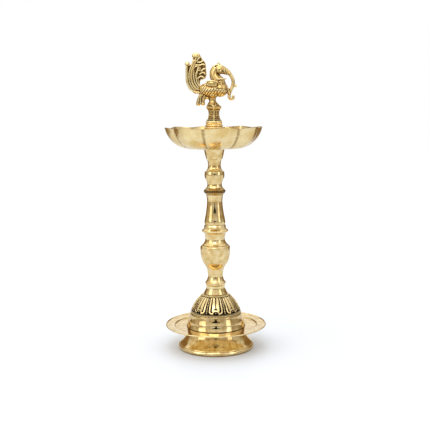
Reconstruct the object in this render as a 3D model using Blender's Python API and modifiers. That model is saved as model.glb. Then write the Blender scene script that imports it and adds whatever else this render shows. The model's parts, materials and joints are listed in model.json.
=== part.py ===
"""A brass standing oil lamp (samai): a foot with a drip tray, a stem of turned pieces screwed together, an oil bowl
with eight petals and a cast peacock finial. Metres, +Z up; the origin is the centre of the foot's rest face, and the
peacock faces +X."""

import math

import bmesh
import bpy

MM = 0.001
GAP = 0.3  # mm between faces that touch

# Driving heights, in mm above the floor: the faces where one piece of the stack meets the next.
FOOT_TOP = 32.0
DRUM_BOTTOM = 34.6
DRUM_TOP = 54.7
DOME_TOP = 85.7
LOWER_STEM_TOP = 162.7
COLLAR_TOP = 195.2
SHAFT_TOP = 241.4
BEAD_RING_TOP = 252.0
KNOP_TOP = 277.5
CUP_TOP = 312.2
RING_TOP = 352.5  # the finial base's uppermost ring, under the pedestal

# Driving radii, in mm.
FOOT_RADIUS = 58.5
TRAY_RADIUS = 78.8
WELL_RADIUS = 63.5
URN_RADIUS = 23.2
PLATE = 2.0  # thickness of tray and bowl

# Threads, in mm: a stud fills its socket but for a running gap.
STUD_RADIUS = 5.0
ROD_RADIUS = 4.0
PEACOCK_STUD_RADIUS = 3.0
THREAD_REACH = 9.0  # how far a stud stands in the piece above it
STUD_BORE = STUD_RADIUS + GAP
ROD_BORE = ROD_RADIUS + GAP

# Petals of the oil bowl.
PETALS = 8
PETAL_DEPTH = 6.5  # mm from a tip's circle in to a valley
PETAL_TURN = math.radians(9)  # from +X to the nearest tip
TIP_RADIUS = 75.9
TIP_RISE = 1.8  # mm that a tip stands above the rim
BOWL_FLOOR_RADIUS = 34.4
BOWL_RIM = 342.9
BOWL_SAG = 9.3

WIDE_SIDES = 32
SIDES = 20
STUD_SIDES = 16
ARC_STEPS = 4

# Colour, roughness and metallic value of each finish.
FINISHES = {
    "polished_brass": ((0.86, 0.66, 0.32, 1.0), 0.2, 1.0),
    "cast_brass": ((0.78, 0.58, 0.26, 1.0), 0.35, 1.0),
    "engraved_brass": ((0.6, 0.45, 0.2, 1.0), 0.35, 1.0),
    "plain_brass": ((0.72, 0.55, 0.28, 1.0), 0.4, 1.0),
    "leather": ((0.2, 0.11, 0.06, 1.0), 0.8, 0.0),
}


# ---------------------------------------------------------------- tools

def clear_scene():
    for item in list(bpy.data.objects):
        bpy.data.objects.remove(item, do_unlink=True)


def collection(name):
    made = bpy.data.collections.new(name)
    bpy.context.scene.collection.children.link(made)
    return made


def give_material(item, finish):
    colour, roughness, metallic = FINISHES[finish]
    made = bpy.data.materials.new(f"{item.name}_{finish}")
    made.use_nodes = True
    shader = made.node_tree.nodes["Principled BSDF"]
    shader.inputs["Base Color"].default_value = colour
    shader.inputs["Roughness"].default_value = roughness
    shader.inputs["Metallic"].default_value = metallic
    item.data.materials.clear()
    item.data.materials.append(made)


def arc(start, end, sag):
    """Points of a circular arc between start and end, both left out. It stands sag off its chord, on the left of the
    way it runs, so along a turned outline a plus is a swell and a minus is a hollow."""
    run, rise = end[0] - start[0], end[1] - start[1]
    chord = math.hypot(run, rise)
    radius = (chord * chord / 4 + sag * sag) / (2 * abs(sag))
    half = math.asin(min(1.0, chord / (2 * radius)))
    side = math.copysign(1.0, sag)
    points = []
    for step in range(1, ARC_STEPS):
        turn = half * (2 * step / ARC_STEPS - 1)
        along = 0.5 + radius * math.sin(turn) / chord
        off = side * (radius * math.cos(turn) - (radius - abs(sag)))
        points.append((start[0] + run * along - rise / chord * off, start[1] + rise * along + run / chord * off))
    return points


def outline(*stations):
    """A turned piece's outline in mm. A station is (radius, height), or (radius, height, sag) for an arc that ends
    there. It runs down the outer side and back up the inner one."""
    points = [stations[0]]
    for radius, height, *sag in stations[1:]:
        if sag:
            points += arc(points[-1], (radius, height), sag[0])
        points.append((radius, height))
    return points


def turn_profile(name, points, sides, closed):
    """A new object with the outline turned about Z by a Screw modifier."""
    mesh = bpy.data.meshes.new(name)
    edges = [(index, index + 1) for index in range(len(points) - 1)]
    if closed:
        edges.append((len(points) - 1, 0))
    mesh.from_pydata([(radius * MM, 0.0, height * MM) for radius, height in points], edges, [])
    item = bpy.data.objects.new(name, mesh)
    screw = item.modifiers.new("turn", "SCREW")
    screw.steps = sides
    screw.render_steps = sides
    screw.use_merge_vertices = True
    screw.merge_threshold = 0.00001
    return item


def evaluated_mesh(item):
    """The item's mesh with its modifiers applied. The item is removed."""
    bpy.context.scene.collection.objects.link(item)
    view = bpy.context.evaluated_depsgraph_get()
    mesh = bpy.data.meshes.new_from_object(item.evaluated_get(view))
    bpy.data.objects.remove(item, do_unlink=True)
    return mesh


def add_part(parts, name, mesh, finish):
    """The mesh as a finished part, shaded smooth but for its sharp edges."""
    mesh.name = name
    mesh.shade_smooth()
    mesh.set_sharp_from_angle(angle=math.radians(35))
    item = bpy.data.objects.new(name, mesh)
    parts.objects.link(item)
    give_material(item, finish)
    return item


def turned(parts, name, finish, points, sides=SIDES):
    """A turned part. An outline that starts on the axis also ends there; any other is a ring around a bore."""
    closed = points[0][0] > 0
    return add_part(parts, name, evaluated_mesh(turn_profile(name, points, sides, closed)), finish)


def rod(parts, name, radius, bottom, top, sides=STUD_SIDES):
    """A threaded rod, plain at its crests' radius, with chamfered ends."""
    chamfer = 0.6
    return turned(
        parts,
        name,
        "plain_brass",
        outline(
            (0, top),
            (radius - chamfer, top),
            (radius, top - chamfer),
            (radius, bottom + chamfer),
            (radius - chamfer, bottom),
            (0, bottom),
        ),
        sides,
    )


def washer(parts, name, finish, radius, bore, bottom, top):
    return turned(
        parts, name, finish, outline((radius, top), (radius, bottom), (bore, bottom), (bore, top))
    )


def boolean(item, other, operation):
    """Applies a Boolean of the other object, which is then removed, to the item's mesh."""
    change = item.modifiers.new("cut", "BOOLEAN")
    change.operation = operation
    change.solver = "EXACT"
    change.object = other
    view = bpy.context.evaluated_depsgraph_get()
    item.data = bpy.data.meshes.new_from_object(item.evaluated_get(view))
    item.modifiers.clear()
    bpy.data.objects.remove(other, do_unlink=True)


def bore_cutter(cutters, radius, bottom, top):
    """A cylinder on the Z axis that a Boolean cuts out."""
    bpy.ops.mesh.primitive_cylinder_add(
        vertices=SIDES, radius=radius * MM, depth=(top - bottom) * MM, location=(0, 0, (top + bottom) / 2 * MM)
    )
    cutter = bpy.context.object
    for owner in cutter.users_collection:
        owner.objects.unlink(cutter)
    cutters.objects.link(cutter)
    cutter.hide_render = True
    cutter.display_type = "WIRE"
    return cutter


# ---------------------------------------------------------------- base

def foot(parts):
    wall = 3.0
    plate_underside = 28.0
    turned(
        parts,
        "foot",
        "polished_brass",
        outline(
            (44.5, FOOT_TOP),
            (57.2, 7.8, -2.2),
            (58.2, 7.0),
            (FOOT_RADIUS, 0, 1.3),
            (FOOT_RADIUS - wall, 0),
            (41.5, plate_underside),
            (ROD_BORE, plate_underside),
            (ROD_BORE, FOOT_TOP),
        ),
        WIDE_SIDES,
    )


def tray(parts):
    underside = FOOT_TOP + GAP
    well = underside + PLATE
    border = 36.2
    turned(
        parts,
        "tray",
        "polished_brass",
        outline(
            (TRAY_RADIUS - 0.8, 37.9),
            (TRAY_RADIUS, 37.2),
            (TRAY_RADIUS - 0.4, border),
            (WELL_RADIUS + 4, border - PLATE),
            (WELL_RADIUS + 1, underside),
            (ROD_BORE, underside),
            (ROD_BORE, well),
            (WELL_RADIUS, well),
            (WELL_RADIUS + 2, border),
            (TRAY_RADIUS - 2, border + 0.2),
        ),
        WIDE_SIDES,
    )


def drum(parts):
    wall = 3.0
    turned(
        parts,
        "drum",
        "polished_brass",
        outline(
            (40.9, DRUM_TOP),
            (43.4, 44.0, -0.3),
            (46.0, DRUM_BOTTOM, -0.4),
            (46.0 - wall, DRUM_BOTTOM),
            (40.9 - wall, DRUM_TOP),
        ),
        WIDE_SIDES,
    )


def dome(parts):
    bottom = DRUM_TOP + GAP
    boss_radius = 11.0
    turned(
        parts,
        "dome",
        "engraved_brass",
        outline(
            (0, DOME_TOP - THREAD_REACH - GAP),
            (STUD_BORE, DOME_TOP - THREAD_REACH - GAP),
            (STUD_BORE, DOME_TOP),
            (20.4, DOME_TOP),
            (39.0, 60.0, 1.9),
            (39.8, bottom),
            (36.6, bottom),
            (36.0, 59.0),
            (boss_radius + 3, 80.6, -3.2),
            (boss_radius, 80.6),
            (boss_radius, 64.0),
            (ROD_BORE, 64.0),
            (ROD_BORE, 74.5),
            (0, 74.5),
        ),
        WIDE_SIDES,
    )


def base_clamp(parts, cutters):
    """The rod that holds foot, tray, drum and dome together, and its washer and nut inside the foot."""
    nut_bottom, nut_top = 19.4, 25.9
    nut_flats = 13.0
    rod(parts, "tie_stud", ROD_RADIUS, 16.5, 74.2)
    washer(parts, "base_washer", "plain_brass", 12.0, ROD_BORE, nut_top + GAP, 28.0 - GAP)
    bpy.ops.mesh.primitive_cylinder_add(
        vertices=6,
        radius=nut_flats / math.sqrt(3) * MM,
        depth=(nut_top - nut_bottom) * MM,
        location=(0, 0, (nut_top + nut_bottom) / 2 * MM),
    )
    blank = bpy.context.object
    boolean(blank, bore_cutter(cutters, ROD_BORE, nut_bottom - 1, nut_top + 1), "DIFFERENCE")
    mesh = blank.data.copy()
    mesh.transform(blank.matrix_world)
    bpy.data.objects.remove(blank, do_unlink=True)
    add_part(parts, "base_nut", mesh, "plain_brass")


# ---------------------------------------------------------------- stem

def stud_between(parts, name, face):
    """The stud that joins the piece whose top face is at this height to the piece above it."""
    rod(parts, name, STUD_RADIUS, face - THREAD_REACH, face + GAP + THREAD_REACH)


def lower_stem(parts):
    bottom = DOME_TOP + GAP
    turned(
        parts,
        "lower_stem",
        "polished_brass",
        outline(
            (0, LOWER_STEM_TOP - THREAD_REACH - GAP),
            (STUD_BORE, LOWER_STEM_TOP - THREAD_REACH - GAP),
            (STUD_BORE, LOWER_STEM_TOP),
            (21.8, LOWER_STEM_TOP),
            (URN_RADIUS, 160.6),
            (URN_RADIUS, 149.5, 0.15),
            (18.7, 134.0, 0.7),
            (13.0, 124.3, -0.5),
            (11.8, 114.5),
            (14.4, 105.9, -0.5),
            (15.9, 104.6),
            (15.9, 101.0, 0.2),
            (14.8, 99.2),
            (15.0, 94.0, -0.2),
            (18.6, 86.8),
            (18.6, bottom),
            (STUD_BORE, bottom),
            (STUD_BORE, bottom + THREAD_REACH + GAP),
            (0, bottom + THREAD_REACH + GAP),
        ),
    )


def neck_collar(parts):
    bottom = LOWER_STEM_TOP + GAP
    socket_end = bottom + THREAD_REACH + GAP
    turned(
        parts,
        "neck_collar",
        "polished_brass",
        outline(
            (0, socket_end + 2),
            (ROD_BORE, socket_end + 2),
            (ROD_BORE, COLLAR_TOP),
            (15.9, COLLAR_TOP),
            (17.2, 192.4),
            (16.8, 189.4),
            (20.9, 186.6),
            (20.6, 184.2),
            (16.3, 179.4, -0.6),
            (15.3, 172.6),
            (20.3, 163.5, -1.1),
            (20.3, bottom),
            (STUD_BORE, bottom),
            (STUD_BORE, socket_end),
            (0, socket_end),
        ),
    )


def shaft(parts):
    bottom = COLLAR_TOP + GAP
    turned(
        parts,
        "shaft",
        "polished_brass",
        outline(
            (13.2, SHAFT_TOP),
            (12.0, 231.4, -0.2),
            (15.9, 203.0, -0.6),
            (16.4, 199.8),
            (16.2, bottom),
            (ROD_BORE, bottom),
            (ROD_BORE, SHAFT_TOP),
        ),
    )


def bead_ring(parts):
    bottom = SHAFT_TOP + GAP
    turned(
        parts,
        "bead_ring",
        "cast_brass",
        outline(
            (13.2, BEAD_RING_TOP),
            (17.4, 246.9, 0.4),
            (13.6, bottom, 0.3),
            (ROD_BORE, bottom),
            (ROD_BORE, BEAD_RING_TOP),
        ),
    )


def knop(parts):
    bottom = BEAD_RING_TOP + GAP
    socket_end = KNOP_TOP - THREAD_REACH - GAP
    turned(
        parts,
        "knop",
        "polished_brass",
        outline(
            (0, socket_end),
            (STUD_BORE, socket_end),
            (STUD_BORE, KNOP_TOP),
            (14.9, KNOP_TOP),
            (15.5, 271.9),
            (15.0, 267.6),
            (11.2, 258.4, -0.4),
            (13.0, bottom, -0.5),
            (ROD_BORE, bottom),
            (ROD_BORE, socket_end - 2),
            (0, socket_end - 2),
        ),
    )


def shaft_rod(parts):
    rod_bottom = LOWER_STEM_TOP + THREAD_REACH + 2 + 3 * GAP
    rod_top = KNOP_TOP - THREAD_REACH - 2 - 2 * GAP
    rod(parts, "shaft_rod", ROD_RADIUS, rod_bottom, rod_top)


def cup(parts):
    bottom = KNOP_TOP + GAP
    seat = CUP_TOP - 1.3
    socket_end = seat - THREAD_REACH - GAP
    turned(
        parts,
        "cup",
        "polished_brass",
        outline(
            (0, socket_end),
            (ROD_BORE, socket_end),
            (ROD_BORE, seat),
            (12.3, seat),
            (12.3, CUP_TOP),
            (16.0, CUP_TOP),
            (12.4, 296.4, 0.3),
            (11.2, 295.2),
            (9.9, 288.6, -0.3),
            (13.3, bottom, -1.3),
            (STUD_BORE, bottom),
            (STUD_BORE, bottom + THREAD_REACH + GAP),
            (0, bottom + THREAD_REACH + GAP),
        ),
    )


# ---------------------------------------------------------------- bowl and finial

def petal_dip(angle):
    """How far into a valley an angle lies: 0 on a petal's keel, 1 in the crease between two petals. The linear share
    gives the keel its edge, and the square one swells the petal's sides."""
    pitch = 2 * math.pi / PETALS
    off = abs((angle + pitch / 2) % pitch - pitch / 2) / (pitch / 2)
    return 0.75 * off + 0.25 * off**2


def bowl(parts):
    """An open turned surface, its vertices drawn in between the petals' tips, then given the plate's thickness."""
    floor = CUP_TOP + GAP
    hole = ROD_RADIUS + 2 * GAP
    points = outline((TIP_RADIUS, BOWL_RIM), (BOWL_FLOOR_RADIUS, floor, BOWL_SAG), (hole, floor))
    surface = turn_profile("bowl", points, 8 * PETALS, False)
    mesh = evaluated_mesh(surface)
    for vertex in mesh.vertices:
        radius = math.hypot(vertex.co.x, vertex.co.y) / MM
        up = max(0.0, (radius - BOWL_FLOOR_RADIUS) / (TIP_RADIUS - BOWL_FLOOR_RADIUS))
        dip = petal_dip(math.atan2(vertex.co.y, vertex.co.x))
        scale = 1 - PETAL_DEPTH * up * dip / radius
        vertex.co.x *= scale
        vertex.co.y *= scale
        vertex.co.z += TIP_RISE * MM * up**4 * (1 - dip)
    item = bpy.data.objects.new("bowl_shell", mesh)
    plate = item.modifiers.new("plate", "SOLIDIFY")
    plate.thickness = PLATE * MM
    plate.offset = -1.0
    made = add_part(parts, "bowl", evaluated_mesh(item), "polished_brass")
    made.rotation_euler.z = PETAL_TURN


def seals(parts):
    """Leather washers, one in the cup's recess and one on the bowl's floor."""
    washer(parts, "lower_seal", "leather", 12.0, ROD_BORE, CUP_TOP - 1.0, CUP_TOP)
    floor_top = CUP_TOP + GAP + PLATE
    washer(parts, "upper_seal", "leather", 17.0, ROD_BORE, floor_top + GAP, floor_top + GAP + 1.0)


def finial_stud(parts):
    seat = CUP_TOP - 1.3
    finial_bottom = CUP_TOP + PLATE + 1.0 + 3 * GAP
    rod(parts, "finial_stud", ROD_RADIUS, seat - THREAD_REACH, finial_bottom + THREAD_REACH)


def finial_base(parts):
    bottom = CUP_TOP + PLATE + 1.0 + 3 * GAP
    turned(
        parts,
        "finial_base",
        "polished_brass",
        outline(
            (0, RING_TOP - THREAD_REACH - GAP),
            (PEACOCK_STUD_RADIUS + GAP, RING_TOP - THREAD_REACH - GAP),
            (PEACOCK_STUD_RADIUS + GAP, RING_TOP),
            (12.4, RING_TOP),
            (12.4, 350.6, 0.4),
            (11.8, 349.4),
            (13.4, 348.2),
            (13.4, 346.4, 0.3),
            (12.8, 345.8),
            (14.9, 344.2, 0.4),
            (19.5, 318.0, -2.2),
            (19.5, bottom),
            (ROD_BORE, bottom),
            (ROD_BORE, bottom + THREAD_REACH + GAP),
            (0, bottom + THREAD_REACH + GAP),
        ),
    )


# ---------------------------------------------------------------- peacock

def ball(centre, radii, tilt=0.0):
    """An ellipsoid; tilt, in degrees, lifts its +X end."""
    bpy.ops.mesh.primitive_uv_sphere_add(segments=20, ring_count=12, radius=MM)
    item = bpy.context.object
    item.scale = radii
    item.rotation_euler.y = -math.radians(tilt)
    item.location = [value * MM for value in centre]
    bpy.context.view_layer.update()
    mesh = item.data.copy()
    mesh.transform(item.matrix_world)
    bpy.data.objects.remove(item, do_unlink=True)
    return mesh


def tube(points, y=0.0):
    """A round bar through (x, z, radius) points, on a smooth curve in the plane at this y."""
    curve = bpy.data.curves.new("bar", "CURVE")
    curve.dimensions = "3D"
    curve.bevel_depth = MM
    curve.bevel_resolution = 2
    curve.resolution_u = 5
    curve.use_fill_caps = True
    spline = curve.splines.new("NURBS")
    spline.points.add(len(points) - 1)
    for point, (x, z, radius) in zip(spline.points, points):
        point.co = (x * MM, y * MM, z * MM, 1.0)
        point.radius = radius
    spline.order_u = 3
    spline.use_endpoint_u = True
    mesh = evaluated_mesh(bpy.data.objects.new("bar", curve))
    return welded(mesh)


def welded(mesh):
    """The mesh with the loose caps of a curve joined on."""
    work = bmesh.new()
    work.from_mesh(mesh)
    bmesh.ops.remove_doubles(work, verts=work.verts, dist=0.00001)
    work.to_mesh(mesh)
    work.free()
    return mesh


def slab(points, thickness):
    """A plate of a smooth closed outline of (x, z) points, standing in the XZ plane."""
    curve = bpy.data.curves.new("slab", "CURVE")
    curve.dimensions = "2D"
    curve.fill_mode = "BOTH"
    curve.extrude = thickness / 2 * MM
    curve.resolution_u = 4
    spline = curve.splines.new("NURBS")
    spline.points.add(len(points) - 1)
    for point, (x, z) in zip(spline.points, points):
        point.co = (x * MM, z * MM, 0.0, 1.0)
    spline.order_u = 3
    spline.use_cyclic_u = True
    item = bpy.data.objects.new("slab", curve)
    item.rotation_euler.x = math.radians(90)
    bpy.context.scene.collection.objects.link(item)
    view = bpy.context.evaluated_depsgraph_get()
    mesh = bpy.data.meshes.new_from_object(item.evaluated_get(view))
    mesh.transform(item.matrix_world)
    bpy.data.objects.remove(item, do_unlink=True)
    return welded(mesh)


def pedestal():
    """The square pedestal, a corner to each side, its capital, and the round stem up into the bird."""
    bottom = RING_TOP + GAP
    square = outline(
        (0, 378.6),
        (9.4, 378.6),
        (11.7, 375.6),
        (11.2, 373.2),
        (8.3, 364.0, -0.4),
        (9.2, 358.8),
        (12.2, 354.6, -0.5),
        (12.2, bottom + 0.5),
        (0, bottom + 0.5),
    )
    ring = outline((0, 355.0), (12.0, 355.0), (12.5, 354.2), (12.5, bottom), (0, bottom))
    neck = outline((0, 394.0), (9.0, 394.0), (4.9, 385.5, -0.8), (9.6, 378.0, -0.6), (0, 378.0))
    shapes = [
        evaluated_mesh(turn_profile("square", square, 4, False)),
        evaluated_mesh(turn_profile("ring", ring, SIDES, False)),
        evaluated_mesh(turn_profile("neck", neck, SIDES, False)),
    ]
    shapes[2].transform(((1, 0, 0, -2.2 * MM), (0, 1, 0, 0), (0, 0, 1, 0), (0, 0, 0, 1)))
    return shapes


def bird_body():
    """Belly, chest, wings, neck, head, crest, beak and the two feathers under the tail."""
    shapes = [
        ball((-2, 0, 402.6), (21, 12.5, 10.8), 4),
        ball((9, 0, 403), (12.5, 11.5, 11.6)),
        tube([(9, 405, 10.5), (9, 413, 10), (2, 420, 7.6), (1, 428, 6.4), (5, 434, 6)]),
        ball((9.4, 0, 431.6), (8.6, 7.2, 7.4)),
        ball((7.8, 0, 441.2), (1.8, 1.8, 2.2)),
        tube([(12, 432.6, 6.2), (18, 430.8, 5.2), (22.5, 428.4, 3.8), (25.6, 426.5, 2.6)]),
        tube([(-17, 395.5, 4.2), (-21.6, 389, 3.4), (-23, 381, 3.3)]),
        tube([(-14, 393.5, 4), (-16.6, 388, 3.2), (-16.4, 381, 3)]),
        tube([(-16, 390.6, 2.8), (-11, 389.6, 2.6), (-4, 388.4, 3)]),
        ball((-22.6, 0, 380.5), (3.6, 3.4, 3.4)),
        ball((-16.4, 0, 380.6), (3.4, 3.3, 3.3)),
    ]
    for side in (-1, 1):
        shapes.append(ball((-2.6, side * 10.2, 408.6), (9.4, 3.2, 5.6), 20))
        shapes.append(tube([(4, 411.6, 2.6), (-4.5, 409, 3.2), (-10, 413.4, 2)], y=side * 10.6))
    return shapes


def garland():
    """The vine that hangs from the beak to the chest, with its leaf and its curled end."""
    vine = [
        (24.6, 427, 2.5),
        (28.2, 421, 2.3),
        (30.6, 414.6, 2.3),
        (30, 408.6, 2.4),
        (26.8, 403, 2.6),
        (24.2, 396.4, 2.7),
        (22.8, 390.4, 2.7),
        (25.6, 386.8, 2.5),
        (31, 388, 2.3),
        (29.6, 392, 1.9),
    ]
    return [
        tube(vine),
        tube([(16, 402, 6.5), (20, 400.4, 5.6), (24, 397.6, 3.4)]),
        tube([(29.6, 407.8, 2.6), (32.6, 406.4, 2), (35.6, 405.6, 1)]),
    ]


def tail():
    """A fan plate with raised plumes that end in curls."""
    fan = [
        (-12, 398),
        (-24, 394),
        (-34, 398.6),
        (-41.4, 407),
        (-43, 420),
        (-42.8, 434),
        (-41, 441),
        (-33.6, 439),
        (-31, 448),
        (-26, 455),
        (-19, 453),
        (-16.4, 446),
        (-11.6, 443),
        (-11.6, 432),
        (-10.4, 424),
        (-13, 416.8),
        (-20.4, 416),
        (-20.4, 408),
        (-15, 406),
    ]
    plumes = [
        [(-15, 400, 4.2), (-33, 398.4, 3.4), (-40.6, 413, 3), (-40.4, 430, 2.9), (-39.6, 440, 3.7)],
        [(-14, 401, 4.4), (-27, 402.4, 3.4), (-35, 417, 3), (-33, 433, 3), (-23, 446, 3.4)],
        [(-13, 402, 4.4), (-21, 406, 3.2), (-28.6, 419, 2.8), (-27, 433, 3.2), (-20, 431, 3.6), (-21, 425, 2.6)],
        [(-15, 403, 3.6), (-22.6, 411, 2.8), (-21, 420, 2.8), (-14, 419.4, 3)],
        [(-24, 440, 3), (-17, 434, 3), (-14, 428, 2.9)],
        [(-22, 447, 3), (-17, 444, 2.9), (-14.8, 440, 2.9)],
    ]
    curls = [ball((-26, 0, 452.5), (6.6, 4.6, 4.6)), ball((-39.6, 0, 440.6), (4, 3.8, 3.8))]
    return [slab(fan, 5.0), *curls, *(tube(plume) for plume in plumes)]


def peacock(parts, cutters):
    """The casting: overlapping forms fused into one skin, thinned to few faces, with the stud's socket below."""
    voxel = 0.9 * MM
    work = bmesh.new()
    for mesh in (*pedestal(), *bird_body(), *garland(), *tail()):
        work.from_mesh(mesh)
    joined = bpy.data.meshes.new("casting")
    work.to_mesh(joined)
    work.free()
    item = bpy.data.objects.new("casting", joined)
    fuse = item.modifiers.new("fuse", "REMESH")
    fuse.mode = "VOXEL"
    fuse.voxel_size = voxel
    thin = item.modifiers.new("thin", "DECIMATE")
    thin.ratio = 0.07
    made = add_part(parts, "peacock", evaluated_mesh(item), "cast_brass")
    socket = bore_cutter(cutters, PEACOCK_STUD_RADIUS + GAP, RING_TOP - 2, RING_TOP + THREAD_REACH + 2 * GAP)
    boolean(made, socket, "DIFFERENCE")


def peacock_stud(parts):
    rod(parts, "peacock_stud", PEACOCK_STUD_RADIUS, RING_TOP - THREAD_REACH, RING_TOP + THREAD_REACH + GAP)


def build():
    clear_scene()
    parts = collection("samai_oil_lamp")
    cutters = collection("cutters")
    foot(parts)
    tray(parts)
    drum(parts)
    dome(parts)
    base_clamp(parts, cutters)
    stud_between(parts, "lower_stud", DOME_TOP)
    lower_stem(parts)
    stud_between(parts, "middle_stud", LOWER_STEM_TOP)
    neck_collar(parts)
    shaft(parts)
    bead_ring(parts)
    knop(parts)
    shaft_rod(parts)
    stud_between(parts, "upper_stud", KNOP_TOP)
    cup(parts)
    seals(parts)
    bowl(parts)
    finial_stud(parts)
    finial_base(parts)
    peacock_stud(parts)
    peacock(parts, cutters)


build()
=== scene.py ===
"""The looks of a brass standing oil lamp: polished turned pieces, an engraved dome, a petalled bowl and a
cast peacock, in a plain pale studio. The lamp's lengths are in mm and the studio's are in metres."""

import json
import math

import bmesh
import bpy
import numpy as np
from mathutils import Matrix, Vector


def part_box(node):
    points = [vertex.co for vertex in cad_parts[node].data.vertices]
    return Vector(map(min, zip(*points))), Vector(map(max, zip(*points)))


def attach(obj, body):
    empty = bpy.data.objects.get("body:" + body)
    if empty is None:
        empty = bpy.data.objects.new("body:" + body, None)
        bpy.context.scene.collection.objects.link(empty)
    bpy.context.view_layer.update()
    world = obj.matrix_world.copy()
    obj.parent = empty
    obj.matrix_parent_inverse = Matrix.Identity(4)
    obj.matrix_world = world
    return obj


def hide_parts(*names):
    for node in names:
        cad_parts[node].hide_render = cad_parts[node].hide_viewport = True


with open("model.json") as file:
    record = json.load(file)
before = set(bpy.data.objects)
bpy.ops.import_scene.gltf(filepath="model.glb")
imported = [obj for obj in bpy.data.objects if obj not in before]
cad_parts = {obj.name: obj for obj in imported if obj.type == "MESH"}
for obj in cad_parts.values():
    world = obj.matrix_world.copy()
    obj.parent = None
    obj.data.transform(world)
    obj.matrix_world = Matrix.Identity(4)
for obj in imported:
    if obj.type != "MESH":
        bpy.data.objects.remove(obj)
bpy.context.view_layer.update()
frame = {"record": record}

MM = 0.001

# The photograph's camera, in metres, from the round edges' ellipses and the lamp's height.
CAMERA_DISTANCE = 1.242
CAMERA_HEIGHT = 0.375
CAMERA_TILT = math.radians(7.59)
CAMERA_ROLL = math.radians(-0.55)
CAMERA_LENS = 67.65
CAMERA_ASIDE = 0.0002

# Fineness of the meshes.
TURN_SIDES = 144
ARC_STEP = 0.9
FILLET = 0.25
LEAST_FILLET = 0.02
LEAST_BEND = 18  # degrees; a flatter corner of an outline stays as it is
EDGE_BLUR = 0.18  # half the width over which an engraved edge falls

# Holes for the rods and the studs, as in the CAD.
ROD_BORE = 4.3
STUD_BORE = 5.3
STUD_HOLE = 9.3  # depth of a hole that a stud turns into

# The oil bowl.
PETALS = 8
PETAL_DEPTH = 6.5
PETAL_TURN = math.radians(9)
TIP_RADIUS = 75.9
TIP_RISE = 1.8
BOWL_FLOOR_RADIUS = 34.4
BOWL_SAG = 9.3
BOWL_HOLE = 4.6
RIM_WALL = 1.9
PLATE = 2.0

THREAD_PITCH = 1.5


# ---------------- frame

def levels(node):
    """Lowest and highest height of a CAD node, in mm."""
    low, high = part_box(node)
    return low.z / MM, high.z / MM


def width(node):
    """Greatest radius of a CAD node that is round about the lamp's axis, in mm."""
    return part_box(node)[1].x / MM


def body_of_node(node):
    for body, members in frame["record"]["behaviour"]["bodies"].items():
        if node in members:
            return body
    raise ValueError(f"no body holds {node}")


def stand_for(item, node, *materials):
    """The piece takes the CAD node's place and body, with these materials; the CAD node is hidden."""
    for made in materials:
        item.data.materials.append(made)
    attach(item, body_of_node(node))
    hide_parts(node)
    return item


# ---------------- meshes

def new_mesh(name, points, faces, sharp_angle=40):
    """A new object from points in mm."""
    mesh = bpy.data.meshes.new(name)
    mesh.from_pydata([tuple(point) for point in np.asarray(points) * MM], [], faces)
    mesh.validate()
    mesh.shade_smooth()
    mesh.set_sharp_from_angle(angle=math.radians(sharp_angle))
    item = bpy.data.objects.new(name, mesh)
    bpy.context.scene.collection.objects.link(item)
    return item


def arc(start, end, sag):
    """Points of a circular arc between start and end, both left out. It stands sag off its chord, on the
    left of the way it runs, so along a turned outline a plus is a swell and a minus is a hollow."""
    run, rise = end[0] - start[0], end[1] - start[1]
    chord = math.hypot(run, rise)
    radius = (chord * chord / 4 + sag * sag) / (2 * abs(sag))
    half = math.asin(min(1.0, chord / (2 * radius)))
    side = math.copysign(1.0, sag)
    steps = max(3, round(chord / ARC_STEP))
    points = []
    for step in range(1, steps):
        turn = half * (2 * step / steps - 1)
        along = 0.5 + radius * math.sin(turn) / chord
        off = side * (radius * math.cos(turn) - (radius - abs(sag)))
        x = start[0] + run * along - rise / chord * off
        y = start[1] + rise * along + run / chord * off
        points.append((x, y))
    return points


def outline(*stations):
    """A turned piece's outline, down the outer side and back up the inner one. A station is
    (radius, height), or (radius, height, sag) for an arc that ends there."""
    points = [stations[0]]
    for radius, height, *sag in stations[1:]:
        if sag:
            points += arc(points[-1], (radius, height), sag[0])
        points.append((radius, height))
    return points


def filleted(points, closed):
    """The outline with each sharp corner cut into a small round."""
    rounded = []
    count = len(points)
    for index, corner in enumerate(points):
        at_end = not closed and index in (0, count - 1)
        before, after = np.array(points[index - 1]), np.array(points[(index + 1) % count])
        here = np.array(corner)
        back, ahead = before - here, after - here
        reach = min(FILLET, 0.4 * np.linalg.norm(back), 0.4 * np.linalg.norm(ahead))
        if at_end or reach < LEAST_FILLET:
            rounded.append(corner)
            continue
        back, ahead = back / np.linalg.norm(back), ahead / np.linalg.norm(ahead)
        bend = math.degrees(math.acos(max(-1.0, min(1.0, float(np.dot(-back, ahead))))))
        if bend < LEAST_BEND:
            rounded.append(corner)
            continue
        first, last = here + back * reach, here + ahead * reach
        middle = (first + last) / 4 + here / 2
        rounded += [tuple(first), tuple(middle), tuple(last)]
    return rounded


def around(sides):
    """Evenly spaced angles round the lamp's axis."""
    return np.arange(sides) * 2 * math.pi / sides


def grid(radius, height, angles):
    """Points about the lamp's axis, as an array of rows by sides by three."""
    across, deep = radius * np.cos(angles), radius * np.sin(angles)
    return np.stack(np.broadcast_arrays(across, deep, height), axis=-1)


def spun(profile, sides):
    """The profile's points turned about the lamp's axis."""
    return grid(profile[:, :1], profile[:, 1:], around(sides))


def ring_faces(rows, sides, closed):
    """Quads between neighbouring rows of a turned grid, and from the last row to the first if closed."""
    row = np.arange(rows if closed else rows - 1)[:, None]
    side = np.arange(sides)[None, :]
    below, after = (row + 1) % rows, (side + 1) % sides
    corners = (row * sides + side, below * sides + side, below * sides + after, row * sides + after)
    return np.stack(corners, axis=-1).reshape(-1, 4).tolist()


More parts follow.
